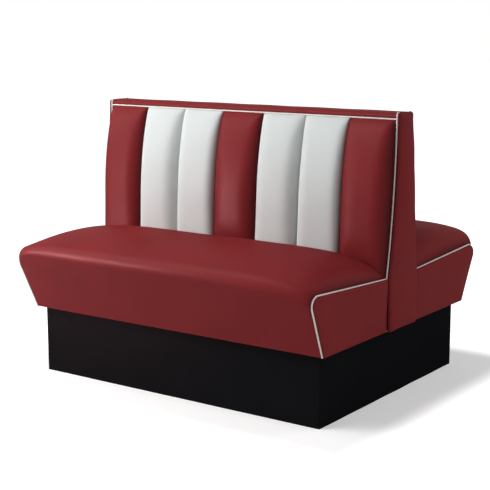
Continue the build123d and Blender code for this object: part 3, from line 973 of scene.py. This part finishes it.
def floor_material():
    """Pale floor that keeps the lamps' shadow near the booth and fades to white further out, which paints the
    shadow's outer edge.
    """
    material, tree, shader = new_material("pale_floor")
    shader.inputs["Base Color"].default_value = FLOOR_GREY
    shader.inputs["Roughness"].default_value = 1.0
    shader.inputs["Specular IOR Level"].default_value = 0.0
    shader.inputs["Emission Color"].default_value = WHITE
    size = node(tree, "ShaderNodeVectorMath", {0: object_place(tree)}, operation="ABSOLUTE").outputs["Vector"]
    plinth = (PLINTH_HALF_X, PLINTH_HALF_Y, 0)
    beyond = node(tree, "ShaderNodeVectorMath", {0: size, 1: plinth}, operation="SUBTRACT").outputs["Vector"]
    sides = node(tree, "ShaderNodeSeparateXYZ", {0: beyond})
    away = computed(tree, "MAXIMUM", sides.outputs["X"], sides.outputs["Y"])
    # Painted shadow edge: the glow is low near the plinth and rises to white further out.
    fade = node(tree, "ShaderNodeMapRange", interpolation_type="SMOOTHSTEP",
                inputs={"Value": away, "From Min": FADE_START, "From Max": FADE_END,
                        "To Min": FLOOR_LIFT, "To Max": 1.0}).outputs["Result"]
    straight_on = node(tree, "ShaderNodeLightPath").outputs["Is Camera Ray"]
    mirrored = computed(tree, "MULTIPLY", background_rays(tree), MIRRORED_LIFT)
    shown = computed(tree, "MAXIMUM", straight_on, mirrored)
    feed(tree, computed(tree, "MULTIPLY", shown, fade), shader.inputs["Emission Strength"])
    return material


corners = [(-1, -1), (1, -1), (1, 1), (-1, 1)]
floor_mesh = bpy.data.meshes.new("floor")
floor_mesh.from_pydata([(x * FLOOR_HALF, y * FLOOR_HALF, 0) for x, y in corners], [], [(0, 1, 2, 3)])
floor = bpy.data.objects.new("floor", floor_mesh)
bpy.context.scene.collection.objects.link(floor)
floor_mesh.materials.append(floor_material())


# Lamps

def aimed(data, place, aim):
    """A lamp at a place, turned to its aim."""
    lamp = bpy.data.objects.new(data.name, data)
    lamp.location = place
    lamp.rotation_euler = (Vector(aim) - Vector(place)).to_track_quat("-Z", "Y").to_euler()
    bpy.context.scene.collection.objects.link(lamp)
    return lamp


def soft_box(name, place, size, watts, aim=(0, 0, 0.5)):
    """A square studio lamp."""
    data = bpy.data.lights.new(name, "AREA")
    data.shape = "SQUARE"
    data.size = size
    data.energy = watts
    return aimed(data, place, aim)


def sheen_lamp():
    """A narrow reddish lamp for gloss alone, which makes the soft highlight along the front seat's nose."""
    data = bpy.data.lights.new("sheen_left", "SPOT")
    data.energy = 620
    data.color = (1, 0.42, 0.44)
    data.spot_size = math.radians(30)
    data.spot_blend = 0.7
    data.shadow_soft_size = 0.28
    lamp = aimed(data, (-1.50, -1.78, 0.40), (-0.45, -0.56, 0.28))
    lamp.visible_diffuse = False


soft_box("key_left", (-2.47, -1.58, 2.0), 1.6, 31)
soft_box("key_front", (-1.88, -2.17, 2.0), 1.8, 9)
soft_box("low_front", (-1.75, -2.05, 0.92), 0.6, 10, aim=(-0.4, -0.4, 0.45))
soft_box("high_front", (-0.9, -1.85, 3.12), 1.6, 52)

# The lamps at the side and the rear give no gloss, so that the seat's roof has no glare near its right end.
soft_box("side", (4.0, -0.6, 1.4), 2.0, 20).visible_glossy = False
soft_box("rear", (2.6, 2.6, 2.0), 1.6, 24).visible_glossy = False
sheen_lamp()


# World

world = bpy.data.worlds.new("studio")
bpy.context.scene.world = world
world.use_nodes = True
tree = world.node_tree
tree.nodes.clear()
lit = node(tree, "ShaderNodeBackground", {"Color": WHITE, "Strength": WORLD_LIGHT}).outputs[0]
seen = node(tree, "ShaderNodeBackground", {"Color": WHITE, "Strength": WORLD_SEEN}).outputs[0]
mixed = node(tree, "ShaderNodeMixShader", {"Fac": background_rays(tree), 1: lit, 2: seen}).outputs[0]
node(tree, "ShaderNodeOutputWorld", {"Surface": mixed})


# Camera

level = Vector((math.sin(AZIMUTH), -math.cos(AZIMUTH), 0))
back = level * math.cos(ELEVATION) + Vector((0, 0, math.sin(ELEVATION)))
target = Vector((TARGET_ACROSS * math.cos(AZIMUTH), TARGET_ACROSS * math.sin(AZIMUTH), TARGET_UP))
camera_data = bpy.data.cameras.new("camera")
camera = bpy.data.objects.new("camera", camera_data)
bpy.context.scene.collection.objects.link(camera)
camera_data.sensor_width = SENSOR
camera_data.lens = FOCAL_PIXELS * SENSOR / IMAGE_PIXELS
camera.location = target + back * DISTANCE
camera.rotation_euler = (-back).to_track_quat("-Z", "Y").to_euler()
bpy.context.scene.camera = camera
bpy.context.scene.view_settings.view_transform = "Standard"
